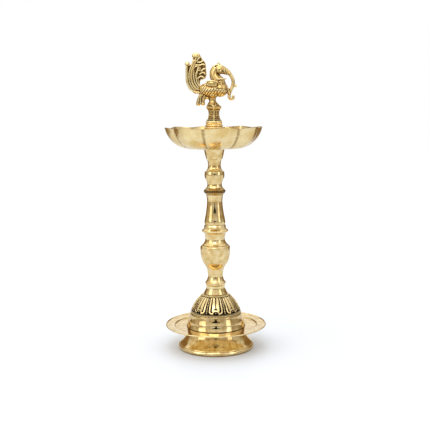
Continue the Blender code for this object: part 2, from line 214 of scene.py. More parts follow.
def shell(name, rows, poles=None, sharp_angle=40):
    """A closed piece from a grid of rows. Rows that don't come round to the first again end on the axis, at
    the two heights in poles."""
    count, sides = rows.shape[:2]
    faces = ring_faces(count, sides, poles is None)
    points = rows.reshape(-1, 3)
    if poles is not None:
        first, last, end = len(points), len(points) + 1, len(points) - sides
        points = np.vstack([points, [0, 0, poles[0]], [0, 0, poles[1]]])
        for side in range(sides):
            after = (side + 1) % sides
            faces.append((first, side, after))
            faces.append((last, end + after, end + side))
    return new_mesh(name, points, faces, sharp_angle)


def capped(name, profile, sides):
    """A turned piece whose profile starts and ends on the axis."""
    return shell(name, spun(profile[1:-1], sides), (profile[0][1], profile[-1][1]))


def lathe(name, stations):
    """A turned piece. An outline that starts on the axis also ends there; any other goes round a bore."""
    if stations[0][0] > 0:
        return shell(name, spun(np.array(filleted(stations, True)), TURN_SIDES))
    return capped(name, np.array(filleted(stations, False)), TURN_SIDES)


def distances(points):
    """How far each point lies from the first, along the line through them all."""
    return np.concatenate([[0], np.cumsum(np.linalg.norm(np.diff(points, axis=0), axis=1))])


def resampled(points, step):
    """Evenly spaced points along an outline, their distances from its last point, and outward normals."""
    points = np.array(points)
    reach = distances(points)
    along = np.linspace(0, reach[-1], round(reach[-1] / step))
    even = np.stack([np.interp(along, reach, points[:, axis]) for axis in (0, 1)], axis=-1)
    run = np.gradient(even, axis=0)
    run /= np.linalg.norm(run, axis=1)[:, None]
    return even, reach[-1] - along, np.stack([-run[:, 1], run[:, 0]], axis=-1)


def set_attribute(item, name, values):
    made = item.data.attributes.new(name, "FLOAT", "POINT")
    made.data.foreach_set("value", np.ascontiguousarray(values, dtype=np.float32))


def inside(distance):
    """1 where a signed distance is negative, 0 where it is positive, with a soft edge."""
    return np.clip(0.5 - distance / (2 * EDGE_BLUR), 0, 1)


# ---------------- materials

class Nodes:
    """Short ways to add and link the nodes of one tree."""

    def __init__(self, tree):
        self.tree = tree

    def node(self, kind, inputs=None, **settings):
        made = self.tree.nodes.new(kind)
        for key, value in settings.items():
            setattr(made, key, value)
        for socket, value in (inputs or {}).items():
            self.put(made.inputs[socket], value)
        return made

    def put(self, socket, value):
        """Sets a socket, or links it where the value is another node's output."""
        if isinstance(value, bpy.types.NodeSocket):
            self.tree.links.new(value, socket)
        else:
            socket.default_value = value

    def coordinates(self, scale=(1.0, 1.0, 1.0)):
        """The piece's own coordinates in mm, stretched by scale."""
        place = self.node("ShaderNodeTexCoord").outputs["Object"]
        factors = [factor / MM for factor in scale]
        return self.node("ShaderNodeMapping", {"Vector": place, "Scale": factors}).outputs["Vector"]

    def noise(self, vector, scale, detail=4.0):
        inputs = {"Vector": vector, "Scale": scale, "Detail": detail, "Roughness": 0.55}
        return self.node("ShaderNodeTexNoise", inputs).outputs["Fac"]

    def math(self, operation, first, second):
        return self.node("ShaderNodeMath", {0: first, 1: second}, operation=operation).outputs[0]

    def ramp(self, factor, *stops):
        """A colour ramp; a stop is (position, colour)."""
        made = self.node("ShaderNodeValToRGB", {"Fac": factor})
        elements = made.color_ramp.elements
        while len(elements) < len(stops):
            elements.new(0.5)
        for element, (position, colour) in zip(elements, stops):
            element.position = position
            element.color = (*colour, 1.0)
        return made.outputs["Color"]

    def fit(self, factor, low, high, to_low, to_high):
        """The factor's range from low to high, drawn out to run from to_low to to_high."""
        ends = {"From Min": low, "From Max": high, "To Min": to_low, "To Max": to_high}
        return self.node("ShaderNodeMapRange", {"Value": factor, **ends}).outputs["Result"]

    def mix(self, factor, first, second):
        made = self.node("ShaderNodeMix", data_type="RGBA")
        colours = [socket for socket in made.inputs if socket.type == "RGBA"]
        self.put(made.inputs[0], factor)
        for socket, value in zip(colours, (first, second)):
            self.put(socket, (*value, 1.0) if isinstance(value, tuple) else value)
        return [socket for socket in made.outputs if socket.type == "RGBA"][0]

    def attribute(self, name):
        return self.node("ShaderNodeAttribute", attribute_name=name).outputs["Fac"]

    def crevice_shade(self, reach):
        """Painted shade: near 1 in the seams and under the rims, and 0 in the open. It
        looks for a neighbouring surface within reach, in mm."""
        looked = self.node("ShaderNodeAmbientOcclusion", {"Distance": reach * MM}, samples=8)
        return self.fit(looked.outputs["AO"], 0.35, 0.9, 0.9, 0.0)

    def bump(self, height, distance, strength=1.0, after=None):
        """A normal from a height of so many mm; after is a normal that it is added to."""
        inputs = {"Height": height, "Distance": distance * MM, "Strength": strength}
        if after is not None:
            inputs["Normal"] = after
        return self.node("ShaderNodeBump", inputs).outputs["Normal"]


class Shader(Nodes):
    """A new node material with a Principled BSDF."""

    def __init__(self, name):
        self.material = bpy.data.materials.new(name)
        self.material.use_nodes = True
        super().__init__(self.material.node_tree)
        self.principled = self.tree.nodes["Principled BSDF"]

    def finish(self, colour, roughness, normal=None, metallic=1.0):
        self.put(self.principled.inputs["Base Color"], colour)
        self.put(self.principled.inputs["Roughness"], roughness)
        self.principled.inputs["Metallic"].default_value = metallic
        if normal is not None:
            self.put(self.principled.inputs["Normal"], normal)
        return self.material


# Painted highlight: a paler brass for the casting's high places.
PAINTED_HIGHLIGHT_BRASS = (0.93, 0.77, 0.4)
PALE_BRASS = (0.88, 0.71, 0.39)
WARM_BRASS = (0.74, 0.53, 0.21)
TARNISHED = (0.64, 0.43, 0.15)
# Painted shade, and on the casting patination too: brown in the creases, seams and hollows, black in the
# casting's deepest hollows.
SHADE_AND_PATINA_BROWN = (0.3, 0.17, 0.05)
SHADE_AND_PATINA_BLACK = (0.05, 0.028, 0.01)
PATINA = (0.012, 0.009, 0.006)


def turning_rings(shader):
    """A pattern that is round about the lamp's axis: fine cutter marks and broader polishing bands."""
    place = shader.node("ShaderNodeTexCoord").outputs["Object"]
    x, y, z = shader.node("ShaderNodeSeparateXYZ", {"Vector": place}).outputs
    squares = shader.math("ADD", shader.math("MULTIPLY", x, x), shader.math("MULTIPLY", y, y))
    radius = shader.math("POWER", squares, 0.5)
    along = shader.node("ShaderNodeCombineXYZ", {"X": radius, "Z": z}).outputs["Vector"]
    return shader.noise(along, 2600.0, 3.0), shader.noise(along, 160.0, 3.0)


def polished_brass():
    """Turned brass: a bright mirror with cutter rings, a soft orange-peel, tarnish clouds, and painted shade
    in the seams and under the rims.
    """
    shader = Shader("polished_brass")
    place = shader.coordinates()
    fine, broad = turning_rings(shader)
    clouds = shader.math("ADD", shader.noise(place, 0.13, 5.0), shader.math("MULTIPLY", broad, 0.35))
    tarnish = shader.fit(clouds, 0.5, 0.85, 0.0, 1.0)
    # Painted shade: the seams and the places under the rims darken to brown.
    colour = shader.mix(shader.crevice_shade(4.5), shader.mix(tarnish, PALE_BRASS, TARNISHED), SHADE_AND_PATINA_BROWN)
    smears = shader.noise(shader.coordinates((1.0, 1.0, 0.3)), 0.22, 4.0)
    worn = shader.math("ADD", smears, shader.math("MULTIPLY", fine, 0.3))
    peel = shader.bump(shader.noise(place, 0.16, 3.0), 0.12, 0.5)
    rings = shader.bump(shader.math("ADD", fine, broad), 0.02, 0.5, peel)
    return shader.finish(colour, shader.fit(worn, 0.4, 0.95, 0.04, 0.13), rings)


def engraved_brass():
    """Polished on the raised lines, blackened in the ground between them."""
    shader = Shader("engraved_brass")
    place = shader.coordinates()
    ragged = shader.math("MULTIPLY", shader.noise(place, 1.1, 3.0), 0.35)
    dark = shader.fit(shader.math("ADD", shader.attribute("patina_and_shade"), ragged), 0.5, 0.85, 0.0, 1.0)
    bright = shader.mix(shader.noise(place, 0.3), PALE_BRASS, WARM_BRASS)
    colour = shader.mix(dark, bright, PATINA)
    gloss = shader.fit(dark, 0.0, 1.0, 0.16, 0.55)
    grain = shader.bump(shader.noise(place, 1.6, 4.0), 0.08, 0.6)
    return shader.finish(colour, gloss, grain)


def creased_brass():
    """The bowl's brass: polished, with painted shade in the creases between the petals and along the rim."""
    shader = Shader("creased_brass")
    place = shader.coordinates()
    clouds = shader.noise(place, 0.05, 5.0)
    tarnish = shader.fit(clouds, 0.35, 0.65, 0.0, 1.0)
    brass = shader.mix(tarnish, PALE_BRASS, WARM_BRASS)
    ragged = shader.noise(place, 0.35, 3.0)
    # On the bowl the attribute holds painted shade: the creases and the rim's edges.
    dark = shader.math("MULTIPLY", shader.attribute("patina_and_shade"), shader.fit(ragged, 0.35, 0.6, 0.45, 1.0))
    colour = shader.mix(dark, brass, SHADE_AND_PATINA_BROWN)
    hammer = shader.bump(shader.noise(place, 0.12, 3.0), 0.2, 0.5)
    return shader.finish(colour, shader.fit(ragged, 0.3, 0.7, 0.16, 0.3), hammer)


def cast_brass():
    """Cast brass with a painted highlight on its high places, and brown to black in its hollows: patination
    there, deepened with painted shade.
    """
    shader = Shader("cast_brass")
    place = shader.coordinates()
    ragged = shader.math("MULTIPLY", shader.noise(place, 0.9, 4.0), 0.3)
    depth = shader.math("ADD", shader.attribute("cavity"), ragged)
    # Painted highlight on the high places; in the hollows, patination deepened with painted shade.
    colour = shader.ramp(
        shader.fit(depth, -0.4, 0.9, 0.0, 1.0),
        (0.1, PAINTED_HIGHLIGHT_BRASS), (0.3, WARM_BRASS), (0.5, SHADE_AND_PATINA_BROWN), (0.66, SHADE_AND_PATINA_BLACK),
    )
    gloss = shader.fit(depth, -0.3, 0.8, 0.12, 0.42)
    grain = shader.bump(shader.noise(place, 1.3, 4.0), 0.1, 0.6)
    return shader.finish(colour, gloss, grain)


def plain_brass():
    """Rolled and machined brass that is never polished: duller, with fine grain and stain."""
    shader = Shader("plain_brass")
    place = shader.coordinates()
    stain = shader.noise(place, 0.25, 4.0)
    colour = shader.mix(shader.fit(stain, 0.35, 0.7, 0.0, 1.0), WARM_BRASS, (0.5, 0.33, 0.13))
    grain = shader.noise(place, 2.2, 3.0)
    return shader.finish(colour, shader.fit(grain, 0.2, 0.8, 0.3, 0.48), shader.bump(grain, 0.05, 0.5))


def leather():
    """Dark brown hide with a pebbled grain."""
    shader = Shader("leather")
    place = shader.coordinates()
    grain = shader.node("ShaderNodeTexVoronoi", {"Vector": place, "Scale": 1.6}).outputs["Distance"]
    stain = shader.noise(place, 0.2)
    colour = shader.ramp(stain, (0.3, (0.09, 0.045, 0.02)), (0.7, (0.2, 0.11, 0.05)))
    return shader.finish(colour, shader.fit(grain, 0.0, 1.0, 0.55, 0.8), shader.bump(grain, 0.15), 0.0)


# ---------------- turned pieces

def turned(node, material, *stations, ending="turned"):
    """The turned piece that stands for a CAD node."""
    return stand_for(lathe(f"{node}_{ending}", outline(*stations)), node, material)


def foot(brass):
    low, high = levels("foot")
    rest = width("foot")
    wall = 3.0
    plate = high - 4
    return turned(
        "foot", brass,
        (44.5, high), (57.2, low + 7.8, -2.2), (57.4, low + 7.0), (58.2, low + 6.7),
        (58.5, low + 0.3, rest - 58.35), (58.2, low), (58.5 - wall, low), (41.5, plate),
        (ROD_BORE, plate), (ROD_BORE, high),
    )


def tray(brass):
    low, high = levels("tray")
    edge = width("tray")
    well = 63.5
    border = high - 1.7
    return turned(
        "tray", brass,
        (edge - 0.8, high), (edge, high - 0.7, 0.15), (edge - 0.4, border, 0.1),
        (well + 4, border - PLATE), (well + 1, low), (ROD_BORE, low), (ROD_BORE, low + PLATE),
        (well, low + PLATE), (well + 1.2, border - 0.5, -0.2), (well + 2.2, border, 0.15),
        (edge - 2, border + 0.2),
        ending="spun",
    )


def drum(brass):
    low, high = levels("drum")
    wall = 3.0
    foot_radius, top_radius = width("drum"), 40.9
    return turned(
        "drum", brass,
        (top_radius, high), (43.4, low + 9.4, -0.3), (foot_radius, low, -0.4),
        (foot_radius - wall, low), (top_radius - wall, high),
    )


def lower_stem(brass):
    low, high = levels("lower_stem")
    urn = width("lower_stem")
    return turned(
        "lower_stem", brass,
        (0, high - STUD_HOLE), (STUD_BORE, high - STUD_HOLE), (STUD_BORE, high), (21.8, high),
        (urn - 0.1, high - 2.1), (urn - 0.1, low + 63.5, 0.1), (18.7, low + 48, 0.7),
        (13.0, low + 38.3, -0.5), (11.8, low + 28.5), (14.4, low + 19.9, -0.5), (15.9, low + 18.6),
        (15.9, low + 15.0, 0.2), (14.8, low + 13.2), (15.0, low + 8.0, -0.2), (18.6, low + 0.8),
        (18.6, low), (STUD_BORE, low), (STUD_BORE, low + STUD_HOLE), (0, low + STUD_HOLE),
    )


def neck_collar(brass):
    low, high = levels("neck_collar")
    flange = width("neck_collar")
    return turned(
        "neck_collar", brass,
        (0, low + 11.3), (ROD_BORE, low + 11.3), (ROD_BORE, high), (15.9, high), (17.2, low + 29.4),
        (16.8, low + 26.4), (flange, low + 23.6), (flange - 0.3, low + 21.2), (16.3, low + 16.4, -0.6),
        (15.3, low + 9.6), (20.3, low + 0.5, -1.1), (20.3, low), (STUD_BORE, low),
        (STUD_BORE, low + STUD_HOLE), (0, low + STUD_HOLE),
    )


def shaft(brass):
    low, high = levels("shaft")
    return turned(
        "shaft", brass,
        (13.2, high), (12.0, low + 35.9, -0.2), (15.9, low + 7.5, -0.6), (width("shaft"), low + 4.3),
        (16.2, low), (ROD_BORE, low), (ROD_BORE, high),
    )


def bead_ring(brass):
    """A collar whose edge is a row of beads with dark gaps."""
    low, high = levels("bead_ring")
    rim, belt = width("bead_ring"), low + 5.2
    beads, size = 36, 1.6
    sides = 14 * beads
    skin = resampled(outline((13.2, high), (rim, belt, 0.4), (13.6, low, 0.3)), 0.25)[0]
    radius, height = skin[:, :1], skin[:, 1:]
    step = 2 * math.pi / beads
    spread = (around(sides) % step - step / 2) * rim
    away = np.hypot(spread[None, :], height - belt) / size
    belted = np.clip(1.7 - np.abs(height - belt) / 1.2, 0, 1)
    gap = belted * (1 - np.sqrt(np.clip(1 - away**2, 0, 1)))
    rows = spun(skin, sides)
    rows[:, :, :2] *= (1 - 0.9 * gap / radius)[:, :, None]
    bore = spun(np.array([(ROD_BORE, low), (ROD_BORE, high)]), sides)
    item = shell("bead_ring_beaded", np.concatenate([rows, bore]))
    # The gaps between the beads get the cast's hollow tone: patination deepened with painted shade.
    set_attribute(item, "cavity", np.concatenate([gap.ravel(), np.zeros(2 * sides)]))
    return stand_for(item, "bead_ring", brass)


def knop(brass):
    low, high = levels("knop")
    return turned(
        "knop", brass,
        (0, high - STUD_HOLE), (STUD_BORE, high - STUD_HOLE), (STUD_BORE, high), (14.9, high),
        (width("knop"), high - 5.6), (15.0, high - 9.9), (11.2, low + 6.1, -0.4), (13.0, low, -0.5),
        (ROD_BORE, low), (ROD_BORE, high - 11.3), (0, high - 11.3),
    )


def cup(brass):
    low, high = levels("cup")
    seat = high - 1.3
    return turned(
        "cup", brass,
        (0, high - 10.6), (ROD_BORE, high - 10.6), (ROD_BORE, seat), (12.3, seat), (12.3, high),
        (width("cup"), high), (12.4, low + 18.6, 0.3), (11.2, low + 17.4), (9.9, low + 10.8, -0.3),
        (13.3, low, -1.3), (STUD_BORE, low), (STUD_BORE, low + STUD_HOLE), (0, low + STUD_HOLE),
    )


def finial_base(brass):
    low, high = levels("finial_base")
    bird_bore = 3.3
    return turned(
        "finial_base", brass,
        (0, high - STUD_HOLE), (bird_bore, high - STUD_HOLE), (bird_bore, high), (12.4, high),
        (12.4, high - 1.9, 0.4), (11.8, high - 3.1), (13.4, high - 4.3), (13.4, high - 6.1, 0.3),
        (12.8, high - 6.7), (14.9, high - 8.3, 0.4), (19.5, low + 1.9, -2.2), (19.5, low),
        (ROD_BORE, low), (ROD_BORE, low + STUD_HOLE), (0, low + STUD_HOLE),
    )


# ---------------- bowl

def petal_dip(angle):
    """How far into a valley an angle lies: 0 on a petal's keel, 1 in the crease between two petals."""
    pitch = 2 * math.pi / PETALS
    return np.abs((angle - PETAL_TURN + pitch / 2) % pitch - pitch / 2) / (pitch / 2)


def bowl_surface(profile, angles, inset):
    """Points of the bowl's outer or inner skin, row by row from the rim in."""
    radius, height = profile[:, :1], profile[:, 1:]
    up = np.clip((radius - BOWL_FLOOR_RADIUS) / (TIP_RADIUS - inset - BOWL_FLOOR_RADIUS), 0, 1)
    dip = petal_dip(angles)[None, :]
    far = radius - PETAL_DEPTH * up * dip
    return grid(far, height + TIP_RISE * up**4 * (1 - dip), angles)


def bowl(brass):
    """The petalled bowl, with its creases and its rim marked for painted shade."""
    low, high = levels("bowl")
    rim, floor = high - TIP_RISE - 0.1, low + PLATE
    crease_start, crease_blend, fade, rim_shade = 0.88, 0.08, 14, 0.8
    angles = PETAL_TURN + around(PETALS * 32)
    base = BOWL_FLOOR_RADIUS
    outer = np.array(outline((TIP_RADIUS, rim), (base, low, BOWL_SAG), (20, low), (BOWL_HOLE, low)))
    inner = np.array(outline(
        (TIP_RADIUS - RIM_WALL, rim), (base, floor, BOWL_SAG - 0.5), (20, floor), (BOWL_HOLE, floor)
    ))
    skins = [bowl_surface(outer, angles, 0.0), bowl_surface(inner, angles, RIM_WALL)[::-1]]
    item = shell("bowl_petalled", np.concatenate(skins), sharp_angle=30)
    # Painted shade: dark lines down the creases between the petals, fading out towards the floor, and a dark
    # line round both edges of the rim.
    crease = np.clip((petal_dip(angles) - crease_start) / crease_blend, 0, 1)
    up = np.clip((np.concatenate([outer[:, 0], inner[::-1, 0]]) - base) / fade, 0, 1)
    dark = up[:, None] * crease[None, :]
    dark[[0, -1], :] = rim_shade
    set_attribute(item, "patina_and_shade", dark.ravel())
    return stand_for(item, "bowl", brass)


# ---------------- engraved dome

PANELS = 8
RELIEF = 0.8  # depth of the ground between the raised lines
CUT_BACK = 0.1  # how far the whole engraved skin lies inside the outline


def engraving(angle, rise, radius):
    """The dome's relief at an angle and a distance up from the rim: 0 on the raised lines, 1 on the ground.
    Shapes are added and cut in turn, so their order counts."""
    pitch = 2 * math.pi / PANELS
    turn = (angle + math.pi / 2 + pitch / 2) % pitch - pitch / 2
    across = np.abs(turn) * radius
    share = np.abs(turn) / (pitch / 2)
    top = rise.max() - 3.6
    raised = np.zeros_like(across)

    def add(shape):
        np.maximum(raised, shape, out=raised)

    def cut(shape):
        np.minimum(raised, 1 - shape, out=raised)

    def beads(spread, along, size):
        add(np.sqrt(np.clip(1 - (spread**2 + along**2) / size**2, 0, 1)))

    def row_of_beads(height, count, size):
        step = 2 * math.pi / count
        beads(((angle % step) - step / 2) * radius, rise - height, size)

    # Each panel's frame, with rounded lower corners and open at its top.
    half, floor, corner = 0.685 * pitch / 2 * radius, 7.4, 3.4
    edge = np.hypot(np.maximum(across - half + corner, 0), np.maximum(floor + corner - rise, 0)) - corner
    add(inside(np.abs(edge) - 1.15) * inside(rise - top))
    # The field inside the frame, slit down its middle and notched for three beads.
    add(inside(across - 0.43 * pitch / 2 * radius) * inside(rise - top) * inside(10.6 - rise))
    cut(inside(across - 0.75) * inside(16 - rise))
    cut(inside(across - 4.2 * (17 - rise) / 4.4) * inside(12.7 - rise) * inside(rise - 17))
    beads(across, rise - 15.2, 0.8)
    beads(across - 2.1, rise - 13.6, 0.8)
    # The small arch under it, with a bead inside.
    crown = np.hypot(across, rise - 6.0)
    add(inside(np.abs(crown - 5.4) - 0.85) * inside(5.6 - rise))
    cut(inside(crown - 4.5) * inside(4.9 - rise))
    beads(across, rise - 8.4, 0.85)
    # The column of beads between two panels.
    column = (1 - share) * pitch / 2 * radius
    cut(inside(column - 2.0) * inside(rise - top) * inside(5 - rise))
    along = (rise + 1.3) % 2.6 - 1.3
    add(np.sqrt(np.clip(1 - (column**2 + along**2) / 1.1**2, 0, 1)) * inside(rise - top) * inside(6 - rise))
    # The lines and the rows of beads that go all the way round.
    add(inside(np.abs(rise - 4.3) - 0.4))
    row_of_beads(2.3, 13 * PANELS, 1.15)
    add(inside(rise - 0.7))
    row_of_beads(top + 1.9, 8 * PANELS, 1.0)
    add(inside(top + 3.0 - rise))
    return 1 - raised


def dome(engraved):
    """The pierced-looking dome: polished lines stand out of a blackened ground."""
    low, high = levels("dome")
    hole_floor, ceiling, socket_end, socket_floor = high - STUD_HOLE, 80.6, 64, 74.5
    sides = PANELS * 84
    profile = outline((20.4, high), (39.0, low + 5, 1.9), (width("dome") - 0.05, low))
    skin, rise, normal = resampled(profile, 0.3)
    heights = np.repeat(rise[:, None], sides, axis=1)
    ground = engraving(around(sides)[None, :], heights, skin[:, :1])
    sink = ground * RELIEF + CUT_BACK
    sink[[0, -1]] = CUT_BACK
    rows = spun(skin, sides) - spun(normal, sides) * sink[:, :, None]
    above = spun(np.array([(STUD_BORE, hole_floor), (STUD_BORE, high)]), sides)
    hollow = outline(
        (36.6, low), (36.0, low + 4), (14, ceiling, -3.2), (11, ceiling), (11, socket_end),
        (ROD_BORE, socket_end), (ROD_BORE, socket_floor),
    )
    below = spun(np.array(hollow), sides)
    item = shell("dome_engraved", np.concatenate([above, rows, below]), (hole_floor, socket_floor))
    # On the dome this attribute holds only the blackened ground, its real patination; on the bowl it holds
    # painted shade.
    patina_and_shade = np.concatenate([np.zeros(2 * sides), ground.ravel(), np.zeros(len(hollow) * sides + 2)])
    set_attribute(item, "patina_and_shade", patina_and_shade)
    return stand_for(item, "dome", engraved)


# ---------------- studs, nut, washers

def threaded(node, brass):
    """A stud with a rolled thread: the radius falls from the crests along a helix."""
    low, high = levels(node)
    crest = width(node)
    depth, chamfer, steps_a_turn = 0.8, 0.9, 8
    angles = around(48)
    heights = np.linspace(low, high, round((high - low) / THREAD_PITCH * steps_a_turn))[:, None]
    phase = (heights / THREAD_PITCH - angles[None, :] / (2 * math.pi)) % 1
    radius = crest - depth * np.abs(2 * phase - 1)
    ends = np.minimum(heights - low, high - heights)
    radius = np.minimum(radius, crest - depth - 0.1 + ends * depth / chamfer)
    item = shell(f"{node}_thread", grid(radius, heights, angles)[::-1], (high, low), 60)
    return stand_for(item, node, brass)


def nut(brass):
    """A hexagon nut with its corners turned off at both ends."""
    low, high = levels("base_nut")
    flats = width("base_nut")
    angles = around(96)
    hexagon = flats / np.cos((angles + math.pi / 6) % (math.pi / 3) - math.pi / 6)
    face, shoulder, corner, mouth = flats - 0.4, flats + 0.5, 9.0, ROD_BORE + 0.5
    stations = np.array([
        (mouth, high), (face, high), (shoulder, high - 0.5), (corner, high - 1.2), (corner, low + 1.2),
        (shoulder, low + 0.5), (face, low), (mouth, low), (ROD_BORE, low + 0.5), (ROD_BORE, high - 0.5),
    ])
    rows = grid(np.minimum(hexagon, stations[:, :1]), stations[:, 1:], angles)
    return stand_for(shell("base_nut_turned", rows, sharp_angle=25), "base_nut", brass)


def washer(node, finish):
    """A flat ring with rounded edges and a slightly dished face."""
    low, high = levels(node)
    edge, bore, lip = width(node), ROD_BORE, 0.3
    return turned(
        node, finish,
        (edge - lip, high), (edge, high - lip, 0.05), (edge, low + lip), (edge - lip, low, 0.05),
        (bore + lip, low), (bore, low + lip), (bore, high - lip), (bore + lip, high),
        ((bore + edge) / 2, high - 0.12),
        ending="ring",
    )


# ---------------- peacock

def ball(centre, radii, tilt=0.0):
    """An ellipsoid; tilt, in degrees, lifts its +X end."""
    bpy.ops.mesh.primitive_uv_sphere_add(segments=32, ring_count=18, radius=MM)
    item = bpy.context.object
    item.scale = radii
    item.rotation_euler.y = -math.radians(tilt)
    item.location = [value * MM for value in centre]
    return taken(item)


def taken(item):
    """The item's shape as a mesh in its place. The item is removed."""
    bpy.context.view_layer.update()
    view = bpy.context.evaluated_depsgraph_get()
    mesh = bpy.data.meshes.new_from_object(item.evaluated_get(view))
    mesh.transform(item.matrix_world)
    bpy.data.objects.remove(item, do_unlink=True)
    work = bmesh.new()
    work.from_mesh(mesh)
    bmesh.ops.remove_doubles(work, verts=work.verts, dist=0.00001)
    work.to_mesh(mesh)
    work.free()
    return mesh


def drawn(points, closed, lean=0.0, **settings):
    """The mesh of a smooth curve through (x, y, z, radius) points, with settings of Blender's curve."""
    curve = bpy.data.curves.new("drawn", "CURVE")
    for key, value in settings.items():
        setattr(curve, key, value)
    spline = curve.splines.new("NURBS")
    spline.points.add(len(points) - 1)
    for point, (x, y, z, radius) in zip(spline.points, points):
        point.co = (x * MM, y * MM, z * MM, 1.0)
        point.radius = radius
    spline.order_u = 3
    spline.use_endpoint_u = not closed
    spline.use_cyclic_u = closed
    item = bpy.data.objects.new("drawn", curve)
    item.rotation_euler.x = lean
    bpy.context.scene.collection.objects.link(item)
    return taken(item)


def bar(points, closed=False):
    """A round bar on a smooth curve through (x, y, z, radius) points."""
    return drawn(
        points, closed, dimensions="3D", bevel_depth=MM, bevel_resolution=3, resolution_u=8,
        use_fill_caps=not closed,
    )


def tube(points, y=0.0):
    """A bar through (x, z, radius) points in the plane at this y."""
    return bar([(x, y, z, radius) for x, z, radius in points])


def hoop(centre, radii, tilt, thickness):
    """A ring round the neck or the beak, across the X axis; tilt, in degrees, leans its top back."""
    lean = math.radians(tilt)
    points = []
    for step in range(12):
        turn = step * math.pi / 6
        up, out = radii[1] * math.cos(turn), radii[0] * math.sin(turn)
        points.append((centre[0] - up * math.sin(lean), out, centre[1] + up * math.cos(lean), thickness))
    return bar(points, closed=True)


def slab(points, thickness):
    """A plate of a smooth closed outline of (x, z) points, standing in the XZ plane."""
    return drawn(
        [(x, z, 0.0, 1.0) for x, z in points], True, math.radians(90), dimensions="2D", fill_mode="BOTH",
        extrude=thickness / 2 * MM, resolution_u=6,
    )


def turned_mesh(stations, sides, offset=0.0):
    """A turned outline as a bare mesh, moved along X. With four sides it is square, corners on the axes."""
    profile = np.array(filleted(stations, False)) if sides > 4 else np.array(stations)
    item = capped("turned", profile, sides)
    item.location.x = offset * MM
    return taken(item)


def pedestal():
    """The square pedestal, a corner to each side, with its lotus cap and its flowers, and the stem above."""
    low = levels("peacock")[0]
    square = outline(
        (0, 378.6), (9.4, 378.6), (11.7, 375.8), (11.4, 373.4), (9.6, 371.6), (8.1, 364.4, -0.3),
        (9.2, 359.0), (11.9, 355.0, -0.5), (11.9, low + 0.5), (0, low + 0.5),
    )
    ring = outline((0, 354.8), (11.8, 354.8), (12.4, 354.2), (12.4, low), (0, low))
    neck = outline((0, 394), (9, 394), (4.9, 385.5, -0.8), (9.4, 378.2, -0.6), (0, 378.2))
    shapes = [turned_mesh(square, 4), turned_mesh(ring, 64), turned_mesh(neck, 64, -2.0)]
    for side in range(4):
        shapes += pedestal_face(math.radians(45 + 90 * side))
    return shapes


def pedestal_face(turn):
    """One face's flowers, leaves and edge lines, as (out, aside, height) from the pedestal's middle."""
    along, across = np.array([math.cos(turn), math.sin(turn)]), np.array([-math.sin(turn), math.cos(turn)])

    def knob(out, aside, height, size):
        x, y = along * out + across * aside
        return ball((x, y, height), (size, size, size))

    def line(size, *points):
        return bar([(*(along * out + across * aside), height, size) for out, aside, height in points])

    shapes = [knob(5.9, 0, height, 1.0) for height in (362.4, 365.2, 368.0)]
    shapes += [knob(6.3, aside, 370.4, 0.8) for aside in (-3.2, -1.1, 1.1, 3.2)]
    shapes += [knob(8.2, aside, 374.6, 0.6) for aside in (-6, -4, -2, 0, 2, 4, 6)]
    for flip in (-1, 1):
        shapes += [
            line(0.55, (6.4, 4.4 * flip, 371), (5.4, 4.0 * flip, 365.5), (6.6, 4.6 * flip, 359.4)),
            line(0.6, (5.4, 3.0 * flip, 367.6), (5.4, 2.1 * flip, 365.4), (5.8, 3.0 * flip, 362.6)),
            line(0.75, (8.0, 5.6 * flip, 376.4), (6.6, 3.2 * flip, 379.6), (4.6, 0, 383.4)),
        ]
    shapes.append(line(0.5, (8.2, -6.6, 356.8), (8.2, 6.6, 356.8)))
    return shapes


def bird_body():
    """Belly, chest, neck, head with its eyes, crest, beak and the two feathers under the tail."""
    shapes = [
        ball((-2, 0, 402.4), (20.8, 12.2, 10.8), 2),
        ball((9.6, 0, 402.4), (12.4, 11.3, 12.0)),
        tube([(9, 405, 10.6), (9, 413, 9.8), (1.6, 420, 7.6), (0.4, 428, 6.4), (4.6, 433.6, 5.8)]),
        ball((9.4, 0, 431.6), (8.5, 7.0, 7.3)),
        ball((7.8, 0, 441.4), (1.6, 1.6, 1.9)),
        ball((7.8, 0, 439.0), (2.4, 2.4, 1.4)),
        tube([(12, 431.6, 6.4), (17.6, 429.4, 5.6), (22, 427, 4.2), (25, 425.2, 3.0)]),
        hoop((16.6, 430.0), (5.8, 6.0), 14, 0.7),
        hoop((20.0, 428.2), (4.9, 5.1), 22, 0.6),
        hoop((8.6, 417.2), (9.6, 10.2), 92, 1.0),
        tube([(-17, 395.5, 4), (-22.2, 389, 3.4), (-23.8, 381, 3.3)]),
        tube([(-14, 393.5, 3.8), (-16.6, 388, 3), (-16.4, 381, 2.8)]),
        tube([(-16, 390.6, 2.6), (-11, 389.6, 2.4), (-4, 388.4, 2.8)]),
        ball((-23.6, 0, 380.7), (3.6, 3.3, 3.4)),
        ball((-16.4, 0, 380.8), (3.3, 3.2, 3.2)),
    ]
    for side in (-1, 1):
        shapes += [
            ball((10.6, side * 6.5, 429.6), (1.3, 1.0, 1.3)),
            bar([(10.6 + 2.3 * math.cos(turn), side * 6.4, 429.6 + 2.3 * math.sin(turn), 0.5)
                 for turn in np.arange(8) * math.pi / 4], closed=True),
            ball((8.8, side * 9.4, 413.4), (1.1, 1.0, 1.1)),
            tube([(-22.2, 391, 0.9), (-24, 384, 0.9), (-24.6, 380, 0.8)], y=side * 3.0),
            tube([(-19.6, 391, 0.8), (-20.6, 385, 0.8), (-20.8, 380, 0.8)], y=side * 3.1),
            tube([(-14.6, 388, 0.8), (-15.2, 384, 0.8), (-14.8, 380, 0.8)], y=side * 2.9),
        ]
    mane = 11
    for step in range(mane):
        turn = math.radians(196 - 108 * step / (mane - 1))
        shapes.append(ball((7.2 + 11.6 * math.cos(turn), 0, 427.4 + 11.4 * math.sin(turn)), (1.3, 2.1, 1.3)))
    return shapes


